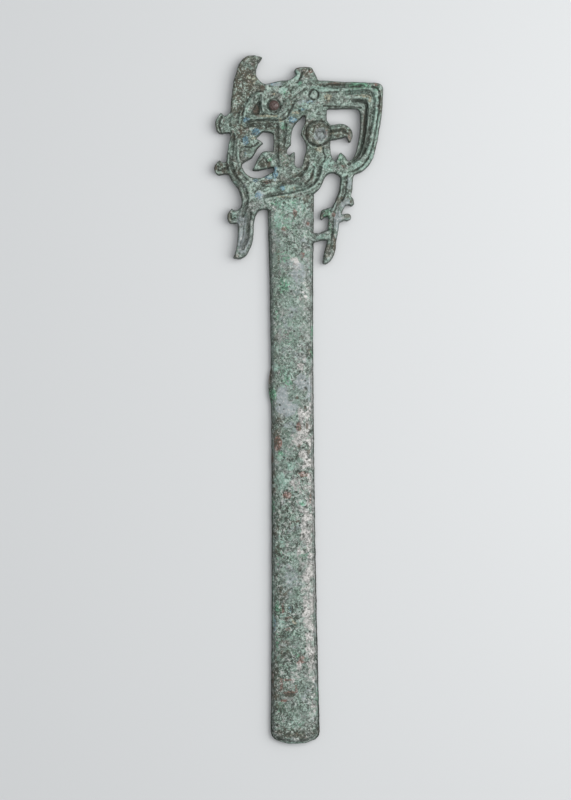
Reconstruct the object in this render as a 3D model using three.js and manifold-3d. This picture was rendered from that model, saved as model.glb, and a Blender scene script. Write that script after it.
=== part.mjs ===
// A cast bronze axe head: a long narrow blade under an openwork head, which is a horned beast in
// profile with gaping jaws, a ring boss with a hooked beak behind it, and a strut down to the blade.
// It lies on its flat back. Millimetres, +Z up, +Y towards the horn. X is counted from the middle of
// the object's width and Y from the shoulder, where the blade leaves the jaw.

import * as THREE from 'three';
import { mergeVertices } from 'three/addons/utils/BufferGeometryUtils.js';
import Module from 'manifold-3d';

const wasm = await Module();
wasm.setup();

// ---- Driving sizes

const BLADE = {
  length: 234.5,
  thickness: 5.0,
  shoulderWidth: 20.5,
  waistWidth: 18.7,
  footWidth: 21.8,
  shoulderX: -3.5,
  footX: -1.5,
  waistDepth: 72,
  overlap: 5,
  cornerRadius: 3.6,
  footBow: 1.3,
  chamfer: 1.5,
  upperFlare: 2,
  lowerFlare: 2.3,
};
const HEAD = { thickness: 5.4, chamfer: 0.7 };
const OPENING_CHAMFER = 0.5;
const WINDOW_CLEARANCE = 0.05;
const CLAW = { thickness: 4.8, chamfer: 0.45 };
const LOOP_HOOK = { thickness: 5.4, chamfer: 0.4 };
const BAR = { thickness: 5.0, chamfer: 0.8 };
const CHAMFER_RISE = 1.5;
const GROOVE = { depth: 0.8, width: 1.2 };
const RIDGE = { height: 0.6, width: 1.6 };
const STEP = 1.25;
const BLADE_STEP = 12;
const BELOW = 2;
const ROOT = 1;
const OVER = 0.5;
const TIDY = 0.02;

const EYE = { x: -10.7, y: 43.2, socket: 3.4, floor: 2.7, depth: 1.4, pupil: 2.6, rise: 0.8 };
const RING = {
  x: 8.5,
  y: 30.8,
  radius: 5.4,
  shoulder: 4.75,
  crown: 3.8,
  thickness: 6.6,
  edge: 1.8,
  lip: 0.5,
  sides: 28,
};
const DISH = { x: 9.5, y: 30.3, floor: 1.7, mouth: 2.95, depth: 1.3 };

// ---- Shapes and solids

// A closed outline made of smooth stretches, with a corner wherever one stretch meets the next.
function outline(...stretches) {
  const points = [];
  for (const stretch of stretches) {
    const curve = new THREE.SplineCurve(stretch.map(([x, y]) => new THREE.Vector2(x, y)));
    const parts = stretch.length === 2 ? 1 : Math.ceil(curve.getLength() / STEP);
    points.push(...curve.getSpacedPoints(parts).slice(0, -1));
  }
  return new THREE.Shape(points);
}

// The outline of a bar that follows a smooth line through stations, each [x, y, width].
function ribbon(stations) {
  const knots = stations.map((station) => new THREE.Vector3(...station));
  const line = new THREE.CatmullRomCurve3(knots, false, 'centripetal');
  const parts = Math.ceil(line.getLength() / STEP);
  const left = [];
  const right = [];
  for (let i = 0; i <= parts; i += 1) {
    const { x, y, z: width } = line.getPointAt(i / parts);
    const along = line.getTangentAt(i / parts).setZ(0).normalize();
    const side = new THREE.Vector2(-along.y, along.x).multiplyScalar(width / 2);
    left.push(new THREE.Vector2(x + side.x, y + side.y));
    right.unshift(new THREE.Vector2(x - side.x, y - side.y));
  }
  return new THREE.Shape([...left, ...right]);
}

// A line of one width, as stations for ribbon.
function stroke(points, width) {
  return ribbon(points.map(([x, y]) => [x, y, width]));
}

function solidOf(geometry) {
  geometry.deleteAttribute('normal');
  geometry.deleteAttribute('uv');
  const merged = mergeVertices(geometry);
  return new wasm.Manifold(new wasm.Mesh({
    numProp: 3,
    vertProperties: merged.attributes.position.array,
    triVerts: new Uint32Array(merged.index.array),
  }));
}

// A flat piece from below the back up to its thickness, its upper edge chamfered inwards.
function plate(shape, { thickness, chamfer }) {
  const rise = chamfer * CHAMFER_RISE;
  return solidOf(new THREE.ExtrudeGeometry(shape, {
    depth: thickness + BELOW - rise,
    bevelThickness: rise,
    bevelSize: chamfer,
    bevelOffset: -chamfer,
    bevelSegments: 1,
  }).translate(0, 0, -BELOW));
}

// What a window takes away: straight walls, flared outwards near the upper face.
function windowTool(shape) {
  const rise = OPENING_CHAMFER * CHAMFER_RISE;
  return solidOf(new THREE.ExtrudeGeometry(shape, {
    depth: HEAD.thickness + 2 * BELOW + WINDOW_CLEARANCE - rise,
    bevelThickness: rise,
    bevelSize: -OPENING_CHAMFER,
    bevelOffset: OPENING_CHAMFER,
    bevelSegments: 1,
  }).translate(0, 0, -2 * BELOW));
}

// A straight-sided prism between two heights.
function prism(shape, low, high) {
  const geometry = new THREE.ExtrudeGeometry(shape, { depth: high - low, bevelEnabled: false });
  return solidOf(geometry.translate(0, 0, low));
}

// A turned form standing on the plate at x, y, from its profile of [radius, height].
function turned(profile, x, y, sides = 20) {
  const geometry = new THREE.LatheGeometry(profile.map(([r, z]) => new THREE.Vector2(r, z)), sides);
  return solidOf(geometry.rotateX(Math.PI / 2).translate(x, y, 0));
}

const join = (solids) => wasm.Manifold.union(solids);

// ---- Blade

// A bar that narrows to a waist, widens to the foot, and ends in a shallow bow with round corners.
function bladeShape() {
  const { length, overlap, waistDepth, cornerRadius: r, footBow } = BLADE;
  const bottom = -length + footBow;
  const foot = bottom + r;
  const axis = (y) => THREE.MathUtils.mapLinear(y, 0, -length, BLADE.shoulderX, BLADE.footX);
  const half = (y) => {
    const above = y > -waistDepth;
    const end = above ? BLADE.shoulderWidth : BLADE.footWidth;
    const reach = above ? waistDepth : length - waistDepth;
    const flare = above ? BLADE.upperFlare : BLADE.lowerFlare;
    const away = Math.min(1, Math.abs(y + waistDepth) / reach);
    return (BLADE.waistWidth + (end - BLADE.waistWidth) * away ** flare) / 2;
  };
  const left = [];
  const right = [];
  const rows = Math.ceil((foot - overlap) / -BLADE_STEP);
  for (let i = 0; i <= rows; i += 1) {
    const y = THREE.MathUtils.lerp(overlap, foot, i / rows);
    left.push(new THREE.Vector2(axis(y) - half(y), y));
    right.unshift(new THREE.Vector2(axis(y) + half(y), y));
  }
  const [leftEnd, rightEnd] = [left.at(-1).x, right[0].x];
  const corners = new THREE.Path();
  corners.absarc(leftEnd + r, foot, r, Math.PI, 1.4 * Math.PI);
  corners.quadraticCurveTo((leftEnd + rightEnd) / 2, bottom - 2 * footBow, rightEnd - r, bottom);
  corners.absarc(rightEnd - r, foot, r, 1.6 * Math.PI, 2 * Math.PI);
  return new THREE.Shape([...left, ...corners.getPoints(6).slice(1, -1), ...right]);
}

// ---- Openwork head

// The outer edge, clockwise from the root of the lowest barb, one stretch for each run between corners.
const CHEEK = [
  [-26.2, -3.5], [-24.9, 1.3], [-26.6, 7], [-29.4, 10.9], [-31.2, 15.3], [-31.6, 19.8], [-30.9, 25],
  [-29.9, 30.1], [-30, 36.2], [-29.7, 43.2], [-29, 50.1], [-27.9, 56.2], [-25.9, 61.7], [-22.9, 64.7],
  [-19.4, 65.3],
];
const HORN_TIP = [-15.7, 64.3];
const HORN_INNER = [
  [-17.7, 61.7], [-18.6, 57.6], [-17.9, 55.2], [-15.9, 53.2], [-13.8, 52.8], [-8.2, 54.1], [-4.4, 54.5],
  [-1.2, 56.6],
];
const CREST_TIP = [-2.1, 58.4];
const CREST_TOP = [[-1.3, 59.6], [2, 60.2], [5.7, 59.8]];
const CREST_BACK = [[5.7, 59.8], [7, 57.6], [8.5, 54.3]];
const LOOP_OUTER = [
  [8.5, 54.3], [16.8, 53.8], [28.5, 53.4], [34.2, 53.1], [36.4, 51.9], [36.9, 49.3], [36.3, 40.5],
  [34.8, 30.3], [33.5, 24], [31.6, 18.6], [28, 14.8], [24.2, 13.1],
];
const STRUT_ROOT = [[24.2, 13.1], [23, 9.5], [18.6, 9.5], [17.8, 12.4]];
const JAW_LOW = [
  [17.8, 12.4], [14.8, 13.9], [11.9, 12.6], [9.8, 8.1], [6.8, 5], [0.7, 3.3], [-6.8, 1.5], [-12, 0.3],
];
const PENDANT_INNER = [
  [-12, -2.6], [-15.7, -2.1], [-17.9, -3.3], [-19.4, -7.4], [-19.6, -12.6], [-20.4, -17.4], [-22.9, -22.1],
  [-25.7, -23.7],
];
const PENDANT_TIP = [-28.7, -23.2];
const PENDANT_OUTER = [[-27.3, -19.4], [-26.6, -13.5], [-26.6, -7.4], [-26.2, -3.5]];

// Straight edges between the points of a short run, as stretches for outline.
function straight(points) {
  return points.slice(1).map((point, i) => [points[i], point]);
}

function headShape() {
  return outline(
    CHEEK,
    ...straight([CHEEK.at(-1), HORN_TIP, HORN_INNER[0]]),
    HORN_INNER,
    ...straight([HORN_INNER.at(-1), CREST_TIP, CREST_TOP[0]]),
    CREST_TOP,
    CREST_BACK,
    LOOP_OUTER,
    ...straight(STRUT_ROOT),
    JAW_LOW,
    ...straight([JAW_LOW.at(-1), PENDANT_INNER[0]]),
    PENDANT_INNER,
    ...straight([PENDANT_INNER.at(-1), PENDANT_TIP, PENDANT_OUTER[0]]),
    PENDANT_OUTER,
  );
}

// The opening inside the loop, behind the ring boss.
function loopOpening() {
  return outline(
    ...straight([[12.4, 41.7], [25.3, 41.9], [26.6, 40.6]]),
    [[26.6, 40.6], [26.7, 37.1], [26.6, 32.7], [25.7, 26.8], [24.5, 22.2], [22.9, 19.6]],
    [
      [22.9, 19.6], [19.8, 18.4], [16.5, 18.3], [15, 19.9], [14, 22.2], [13.8, 26.6],
      [13.9, 34], [12.3, 37.1], [12.4, 41.7],
    ],
  );
}

// The gaping mouth, with an upper and a lower fang left standing in it.
function mouthOpening() {
  const [notch, roof, upperFang, lowerFang] = [[-18.6, 29], [-15.8, 31.7], [-15.3, 27], [-20.4, 15]];
  const [throat, root, heel] = [[-11.2, 23.2], [-11.2, 16.3], [-22.6, 19.2]];
  return outline(
    ...straight([notch, roof]),
    [roof, [-13.3, 31.6], [-11.3, 30.8], [-11, 27.5], throat],
    [throat, [-14, 23.4], [-15.8, 23.2], [-17.9, 20.1]],
    ...straight([[-17.9, 20.1], lowerFang, [-17.6, 14.8]]),
    [[-17.6, 14.8], [-15, 15.5], root],
    ...straight([root, [-10.7, 14.8]]),
    [[-10.7, 14.8], [-15.8, 12], [-18.5, 11.7], [-21.3, 12.4], [-23.3, 14.1], [-24.8, 17.4], heel],
    [heel, [-20.2, 20.7], [-18.3, 24.1]],
    ...straight([[-18.3, 24.1], upperFang, notch]),
  );
}

// Three curled barbs down the left edge: where each grows, how far it reaches and how high it curls.
const BARBS = [
  { x: -29.9, y: 32.4, reach: 6.5, rise: 7.9 },
  { x: -30.6, y: 14.0, reach: 6.3, rise: 5.7 },
  { x: -25.8, y: -7.3, reach: 5.4, rise: 5.9 },
];

const BARB_ROOT = 3;

// A barb's outer edge swings out, round and up to the tip; its inner edge drops back into a notch.
function barbShape({ x, y, reach, rise }) {
  const at = (across, up) => [x - reach * across, y + rise * up];
  const low = [x + BARB_ROOT, y - BARB_ROOT / 2];
  const high = [x + BARB_ROOT, y + rise * 1.05];
  const tip = at(0.62, 1);
  return outline(
    [low, at(0.2, -0.13), at(0.72, -0.18), at(0.98, 0.12), at(0.98, 0.55), tip],
    [tip, at(0.33, 0.78), at(0, 1.02), high],
    [high, low],
  );
}

// Hooks and buds of the openwork, each a bar that tapers to its tip.
const BEAK = [[9.4, 31, 7], [14.6, 31.5, 6.4], [19.4, 32.1, 6.1], [21.8, 30.8, 3.9], [22.1, 27.2, 0.8]];
const INNER_HOOK = [[19, 17, 6], [18.6, 20.1, 4.3], [18.1, 22.7, 0.8]];
const STRUT = [
  [20.9, 14.5, 6], [20.8, 10, 5.7], [20.2, 5.2, 5.8], [17.7, 0, 5], [15.7, -4.8, 5], [15, -10, 5],
  [14.5, -15.3, 4.2], [13.6, -19.6, 4.7], [12.6, -22.9, 4.2], [10.9, -25.7, 1.6],
];
const STRUT_TIE = [[4.5, -14.4, 5.4], [8.9, -14, 3.6], [12, -13.2, 4.2], [15, -12.6, 4.4]];
const STRUT_HOOKS = [
  [[16.4, -3.3, 5], [12.6, -3.3, 3.8], [10.4, -4.5, 2.5], [9.8, -6.5, 0.9]],
  [[19.8, 2.6, 5.4], [22.3, 1.6, 4], [23.6, -0.2, 1.6]],
  [[16.8, -6.3, 3.6], [19.6, -5.5, 2.8], [21.4, -5.4, 3.4], [22.9, -5.6, 1.4]],
];

// The narrow opening behind the mouth, swept by two tapering strokes.
const THROAT = [
  [
    [2.2, 38.6, 0.9], [1.5, 36.6, 2.5], [-0.3, 33.6, 3.7], [-1.1, 31, 3.9], [-0.7, 28.3, 5.3],
    [0.1, 25.3, 6.4], [0.6, 23.1, 4.8], [0.3, 20.5, 3.7], [0, 17.9, 3.5], [0, 16, 1.3],
  ],
  [[-1.1, 25.7, 3.5], [-3.7, 23.6, 2.8], [-4.4, 21.8, 1]],
];

// ---- Carving on the front

const GROOVES = {
  loopInner: [
    [23.3, 45.1], [27.7, 45], [29.6, 43.2], [29.2, 37.1], [28.6, 31.4], [27.2, 24.4], [25.1, 20.2],
    [21.4, 17.6],
  ],
  loopOuter: [
    [19, 48.3], [25.1, 48.9], [30.3, 49.1], [32.3, 47.4], [32.4, 41.2], [31.8, 36.6], [30.7, 31.4],
    [29.4, 25.4], [27.8, 21.8],
  ],
  loopTop: [[10.2, 51.4], [15.5, 51.6], [21.6, 51.7], [28.6, 51.4]],
  jawUpper: [[-15.9, 8.3], [-8.1, 9.2], [-1.1, 11.1], [2.8, 14.6], [4.1, 18.7]],
  jawLower: [[-15.9, 3.3], [-8.1, 4.9], [0.7, 6.8], [5.5, 8.7], [8.3, 12.2], [9.4, 17]],
  cheek: [
    [-28.3, 31], [-28.8, 25.7], [-29.4, 20.5], [-29, 16.1], [-26.6, 11.3], [-23.5, 7], [-22.5, 2.2],
    [-24.4, -5.4],
  ],
  pendant: [[-21.1, -3.1], [-21.9, -8.7], [-22.5, -14.4], [-24.4, -19.6]],
  pillarFront: [[-9.4, 35.3], [-9.2, 28.3], [-9.4, 21.4], [-8.5, 16.1]],
  pillarBack: [[-5.6, 35.3], [-6.1, 31], [-6.8, 24]],
  lip: [[-24.2, 33.4], [-20.3, 34.6], [-15, 34.3], [-10.2, 35.1]],
  strut: [[19.8, 11.8], [19.4, 6.5], [18.3, 2.4], [16.2, -1.3], [15.2, -5.7], [14.8, -10.9], [14.3, -15.3]],
};
const RIDGES = {
  brow: [[-24, 35.3], [-23.1, 40.5], [-20.3, 45.3], [-15.9, 48.6]],
  eyeRim: [
    [-15.9, 48.6], [-15.6, 45.3], [-15.3, 42.3], [-13.4, 39.4], [-8.5, 39.2], [-6.3, 42.3],
    [-5, 46.2], [-2, 49.7], [2.4, 52.8],
  ],
  lowerLid: [[-24, 36.4], [-21.6, 37.7], [-18.5, 38.2], [-14.2, 38.1], [-9.8, 37.8]],
};
const EYE_CORNER = [
  [[-16.7, 45.5], [-19, 43], [-20.7, 39.4]],
  [[-20.7, 39.4], [-17.2, 39.5]],
  [[-17.2, 39.5], [-16.7, 45.5]],
];
const JAW_PANEL = [[-9.8, 6.8, 2.2], [-4.6, 7.5, 2.9], [1.1, 8.9, 1.6]];

function socketTool() {
  const { x, y, socket, floor, depth } = EYE;
  const low = HEAD.thickness - depth;
  const high = HEAD.thickness + BELOW;
  return turned([[0, low], [floor, low], [socket, high], [0, high]], x, y);
}

// The bead in the eye: a quarter round turned about its own axis.
function pupil() {
  const { x, y, pupil: r, rise } = EYE;
  const steps = 4;
  const foot = HEAD.thickness - EYE.depth / 2;
  const height = rise + EYE.depth / 2;
  const profile = [[0, ROOT], [r, ROOT]];
  for (let i = 0; i <= steps; i += 1) {
    const turn = (i / steps) * (Math.PI / 2);
    profile.push([r * Math.cos(turn), foot + height * Math.sin(turn)]);
  }
  return turned(profile, x, y);
}

function ringBoss() {
  const { x, y, radius, shoulder, crown, thickness, edge, lip, sides } = RING;
  const side = [[0, 0], [radius, 0], [radius, thickness - edge]];
  const top = [[shoulder, thickness - lip], [crown, thickness], [0, thickness]];
  return turned([...side, ...top], x, y, sides);
}

function ringDish() {
  const { x, y, floor, mouth, depth } = DISH;
  const low = RING.thickness - depth;
  const high = RING.thickness + OVER;
  return turned([[0, low], [floor, low], [mouth, high], [0, high]], x, y);
}

// ---- The whole casting

// Everything that stands up from the back: the blade, the head, its hooks and the ridges on it.
function raised() {
  const ridgeTop = HEAD.thickness + RIDGE.height;
  return join([
    plate(bladeShape(), BLADE),
    plate(headShape(), HEAD),
    plate(ribbon(STRUT), BAR),
    plate(ribbon(STRUT_TIE), BAR),
    ...BARBS.map((barb) => plate(barbShape(barb), CLAW)),
    ...STRUT_HOOKS.map((hook) => plate(ribbon(hook), CLAW)),
    ...Object.values(RIDGES).map((line) => prism(stroke(line, RIDGE.width), ROOT, ridgeTop)),
  ]);
}

// What is cut into the front without going through.
function carved() {
  const grooveFloor = HEAD.thickness - GROOVE.depth;
  const above = 2 * HEAD.thickness;
  return join([
    ...Object.values(GROOVES).map((line) => prism(stroke(line, GROOVE.width), grooveFloor, above)),
    prism(ribbon(JAW_PANEL), grooveFloor, above),
    prism(outline(...EYE_CORNER), HEAD.thickness - EYE.depth, above),
    socketTool(),
  ]);
}

// The windows that go right through the head.
function openings() {
  const windows = [loopOpening(), mouthOpening(), ...THROAT.map((line) => ribbon(line))];
  return join(windows.map(windowTool));
}

// What stands inside and beside the windows: the bead, the ring boss, its beak and the inner hook.
function bosses() {
  const hooks = [BEAK, INNER_HOOK].map((hook) => plate(ribbon(hook), LOOP_HOOK));
  return join([pupil(), ringBoss(), ...hooks]);
}

// The casting keeps only what lies above the flat back.
function axeHead() {
  return raised()
    .subtract(openings())
    .subtract(carved())
    .add(bosses())
    .subtract(ringDish())
    .trimByPlane([0, 0, 1], 0)
    .simplify(TIDY);
}

// The solid as a three.js geometry, moved so that the origin is under the middle of its box.
function geometryOf(solid) {
  const mesh = solid.getMesh();
  const geometry = new THREE.BufferGeometry();
  geometry.setAttribute('position', new THREE.BufferAttribute(mesh.vertProperties, 3));
  geometry.setIndex(new THREE.BufferAttribute(mesh.triVerts, 1));
  geometry.computeBoundingBox();
  const centre = geometry.boundingBox.getCenter(new THREE.Vector3());
  geometry.translate(-centre.x, -centre.y, -geometry.boundingBox.min.z);
  geometry.computeVertexNormals();
  return geometry;
}

const patinatedBronze = new THREE.MeshStandardMaterial({
  color: 0x6f8a7c,
  roughness: 0.62,
  metalness: 0.45,
});

const axe = new THREE.Mesh(geometryOf(axeHead()), patinatedBronze);
axe.name = 'axe_head';

const part = new THREE.Group();
part.add(axe);

export default part;
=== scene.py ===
"""The looks of a cast bronze axe head, found in the ground: its worn openwork casting and the pale table
that it lies on.

Lengths are in metres. Places on the casting are given in millimetres from its shoulder, where the blade
leaves the jaw: X across from the middle of the width, Y towards the horn.
"""

import math
from types import SimpleNamespace

import bmesh
import bpy
import numpy as np
from bpy.props import FloatProperty, FloatVectorProperty, IntProperty, PointerProperty
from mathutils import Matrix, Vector


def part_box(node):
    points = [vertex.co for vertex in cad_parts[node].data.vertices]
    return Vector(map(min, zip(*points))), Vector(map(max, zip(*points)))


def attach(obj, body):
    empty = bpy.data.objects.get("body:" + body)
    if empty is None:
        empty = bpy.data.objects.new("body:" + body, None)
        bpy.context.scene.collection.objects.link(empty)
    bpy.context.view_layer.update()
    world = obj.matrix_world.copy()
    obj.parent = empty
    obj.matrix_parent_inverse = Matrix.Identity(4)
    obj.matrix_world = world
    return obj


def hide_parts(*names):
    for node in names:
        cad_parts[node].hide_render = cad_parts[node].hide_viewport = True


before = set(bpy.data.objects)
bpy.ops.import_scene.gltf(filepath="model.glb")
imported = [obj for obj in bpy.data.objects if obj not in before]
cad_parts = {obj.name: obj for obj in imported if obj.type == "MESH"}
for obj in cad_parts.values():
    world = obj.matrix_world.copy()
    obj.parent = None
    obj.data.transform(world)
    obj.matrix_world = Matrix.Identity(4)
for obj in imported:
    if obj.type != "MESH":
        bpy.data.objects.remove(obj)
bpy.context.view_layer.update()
LOW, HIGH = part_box("axe_head")

MM = 0.001
HEAD_HEIGHT = 65.3 * MM
SHOULDER = HIGH.y - HEAD_HEIGHT

bl_info = {
    "name": "Bronze axe head",
    "version": (1, 0, 0),
    "blender": (4, 5, 0),
    "location": "View3D > Sidebar > Axe head",
    "description": "A worn openwork bronze axe head on a pale table",
    "category": "Object",
}


# ---- Settings


class CastingSettings(bpy.types.PropertyGroup):
    """Sizes of the casting's relief and wear."""

    cell: FloatProperty(
        name="Cell",
        description="Size of the cells that the casting's skin is remade with",
        default=0.28 * MM,
        min=0.2 * MM,
        unit="LENGTH",
    )
    triangles: IntProperty(
        name="Triangles",
        description="Most triangles that the finished casting keeps",
        default=190000,
        min=20000,
    )
    crown: FloatProperty(
        name="Crown",
        description="How much lower the blade's front is at its edges than along its middle",
        default=1.3 * MM,
        unit="LENGTH",
    )
    ridge: FloatProperty(
        name="Ridge height",
        description="Height of the fine cast ridges on the head",
        default=0.6 * MM,
        unit="LENGTH",
    )
    groove: FloatProperty(
        name="Groove depth",
        description="Depth of the fine cast grooves on the head",
        default=0.65 * MM,
        unit="LENGTH",
    )
    pitting: FloatProperty(
        name="Pitting",
        description="Depth of the corrosion pits",
        default=0.3 * MM,
        unit="LENGTH",
    )
    crust: FloatProperty(
        name="Crust",
        description="Thickness of the corrosion crusts",
        default=0.5 * MM,
        unit="LENGTH",
    )


class PatinaSettings(bpy.types.PropertyGroup):
    """Colours of the corrosion layers, some of them also used for painted shade and a painted sheen."""

    green: FloatVectorProperty(
        name="Grey green",
        description="The smooth patina over most of the casting",
        subtype="COLOR",
        default=(0.236, 0.325, 0.276),
    )
    # On the head's crests this colour is partly a painted highlight.
    verdigris: FloatVectorProperty(
        name="Verdigris",
        description="Pale blue green on the ridges",
        subtype="COLOR",
        default=(0.30, 0.40, 0.345),
    )
    # Also the colour of the painted shade on the blade's chamfers.
    slate: FloatVectorProperty(
        name="Slate",
        description="Blue grey in the mottling",
        subtype="COLOR",
        default=(0.20, 0.235, 0.235),
    )
    # Also the colour of the painted sheen on the blade's right half.
    silver: FloatVectorProperty(
        name="Silver grey",
        description="Pale tin-rich skin on the blade",
        subtype="COLOR",
        default=(0.435, 0.425, 0.405),
    )
    dove: FloatVectorProperty(
        name="Dove grey",
        description="Warm grey skin where the green has worn thin",
        subtype="COLOR",
        default=(0.27, 0.275, 0.262),
    )
    lichen: FloatVectorProperty(
        name="Lichen green",
        description="Deeper green in the mottling",
        subtype="COLOR",
        default=(0.13, 0.215, 0.155),
    )
    # Also the colour of the painted shade on the blade's left half, along the outline and in the grooves.
    olive: FloatVectorProperty(
        name="Dark olive",
        description="Rough dark corrosion and the floor of grooves and pits",
        subtype="COLOR",
        default=(0.040, 0.048, 0.036),
    )
    # Also the colour of the dark marks that are painted shade in the head's hollows.
    umber: FloatVectorProperty(
        name="Umber",
        description="Brown earth left in the roughest skin",
        subtype="COLOR",
        default=(0.115, 0.088, 0.058),
    )
    malachite: FloatVectorProperty(
        name="Malachite",
        description="Bright green crusts",
        subtype="COLOR",
        default=(0.10, 0.36, 0.20),
    )
    azurite: FloatVectorProperty(
        name="Azurite",
        description="Blue crusts in the mouth and round the eye",
        subtype="COLOR",
        default=(0.085, 0.215, 0.30),
    )
    cuprite: FloatVectorProperty(
        name="Cuprite",
        description="Red brown oxide where the patina has flaked off",
        subtype="COLOR",
        default=(0.19, 0.078, 0.058),
    )
    mist: FloatVectorProperty(
        name="Blue-grey",
        description="Smooth blue-grey patina",
        subtype="COLOR",
        default=(0.27, 0.305, 0.315),
    )
    teal: FloatVectorProperty(
        name="Teal",
        description="Pale blue-green patina",
        subtype="COLOR",
        default=(0.255, 0.40, 0.335),
    )
    dun: FloatVectorProperty(
        name="Dun",
        description="Dark brown corroded skin",
        subtype="COLOR",
        default=(0.115, 0.108, 0.078),
    )
    bead: FloatVectorProperty(
        name="Eye bead",
        description="Dark glossy bead of the eye",
        subtype="COLOR",
        default=(0.075, 0.046, 0.040),
    )
    clay: FloatVectorProperty(
        name="Clay",
        description="Tan burial earth",
        subtype="COLOR",
        default=(0.36, 0.31, 0.20),
    )


class StageSettings(bpy.types.PropertyGroup):
    """The table, the lights and the camera."""

    table: FloatVectorProperty(
        name="Table",
        description="Colour of the table top",
        subtype="COLOR",
        default=(0.585, 0.594, 0.597),
    )
    lens: FloatProperty(
        name="Lens",
        description="Focal length of the camera, in millimetres",
        default=110.0,
        min=20.0,
    )
    view_height: FloatProperty(
        name="View height",
        description="Height of what the camera takes in at the casting",
        default=348.6 * MM,
        unit="LENGTH",
    )
    view_middle: FloatVectorProperty(
        name="View middle",
        description="Where the camera looks, across and along",
        size=2,
        subtype="TRANSLATION",
        default=(-5.7 * MM, -0.4 * MM),
    )
    key: FloatProperty(
        name="Key light",
        description="Power of the soft light at the right",
        default=3.7,
        unit="POWER",
    )
    overhead: FloatProperty(
        name="Overhead light",
        description="Strength of the wide light overhead",
        default=1.12,
    )
    spread: FloatProperty(
        name="Overhead spread",
        description="Angle that the wide light overhead fills",
        default=math.radians(75),
        unit="ROTATION",
    )
    ambient: FloatProperty(
        name="Room light",
        description="Brightness of the room all round",
        default=0.4,
    )


# ---- Node trees


class Wire:
    """An output socket. Arithmetic on it adds Math nodes to its tree."""

    def __init__(self, graph, socket):
        self.graph = graph
        self.socket = socket

    def __add__(self, other):
        return self.graph.math("ADD", self, other)

    def __sub__(self, other):
        return self.graph.math("SUBTRACT", self, other)

    def __mul__(self, other):
        return self.graph.math("MULTIPLY", self, other)

    __radd__ = __add__
    __rmul__ = __mul__

    def __rsub__(self, other):
        return self.graph.math("SUBTRACT", other, self)


class Graph:
    """Adds nodes to a node tree. Inputs are given by socket name or index, as wires or plain values."""

    def __init__(self, tree):
        self.tree = tree

    def node(self, kind, inputs=None, **settings):
        made = self.tree.nodes.new(kind)
        for name, value in settings.items():
            setattr(made, name, value)
        for key, value in (inputs or {}).items():
            self.feed(made.inputs[key], value)
        return made

    def feed(self, socket, value):
        if isinstance(value, Wire):
            self.tree.links.new(value.socket, socket)
        else:
            socket.default_value = value

    def wire(self, node, output=0):
        return Wire(self, node.outputs[output])

    def math(self, operation, a, b=0.0, c=0.0, clamp=False):
        values = {0: a, 1: b, 2: c}
        return self.wire(self.node("ShaderNodeMath", values, operation=operation, use_clamp=clamp))

    def clamp(self, a):
        return self.math("ADD", a, 0.0, clamp=True)

    def highest(self, a, b):
        return self.math("MAXIMUM", a, b)

    def smooth(self, value, start, end):
        """0 before start and 1 past end, with a smooth step between them, whichever of them is larger."""
        settings = {"interpolation_type": "SMOOTHSTEP"}
        inputs = {"Value": value, "From Min": start, "From Max": end}
        return self.wire(self.node("ShaderNodeMapRange", inputs, **settings))

    def band(self, value, middle, width):
        """1 where the value is at the middle, falling to 0 at the width to either side."""
        off = self.math("ABSOLUTE", self.math("SUBTRACT", value, middle))
        return self.smooth(off, width, 0.3 * width)

    def noise(self, vector, size, detail=3.0, roughness=0.5, distortion=0.0):
        """Noise from 0 to 1 whose lumps are about size metres across."""
        inputs = {
            "Vector": vector,
            "Scale": 1.0 / size,
            "Detail": detail,
            "Roughness": roughness,
            "Distortion": distortion,
        }
        return self.wire(self.node("ShaderNodeTexNoise", inputs))

    def cells(self, vector, size):
        """Distance inside a field of cells about size metres across, from 0 at each cell's middle."""
        inputs = {"Vector": vector, "Scale": 1.0 / size}
        return self.wire(self.node("ShaderNodeTexVoronoi", inputs), "Distance")

    def mix(self, start, end, share):
        """Blends one colour into another."""
        made = self.node("ShaderNodeMix", data_type="RGBA")
        inputs = [socket for socket in made.inputs if socket.enabled]
        for socket, value in zip(inputs, (share, start, end), strict=True):
            self.feed(socket, value)
        blend = next(socket for socket in made.outputs if socket.enabled)
        return Wire(self, blend)


def add_socket(tree, name, kind, is_output=False):
    """Adds an input or output to a node group."""
    in_out = "OUTPUT" if is_output else "INPUT"
    tree.interface.new_socket(name, in_out=in_out, socket_type=kind)


def set_input(modifier, name, value):
    """Sets a geometry nodes modifier's input by its socket's identifier."""
    for item in modifier.node_group.interface.items_tree:
        if item.item_type == "SOCKET" and item.in_out == "INPUT" and item.name == name:
            modifier[item.identifier] = value
            return
    raise KeyError(f"{modifier.node_group.name} has no input {name}")


# ---- Relief and corrosion layers of the casting

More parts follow.
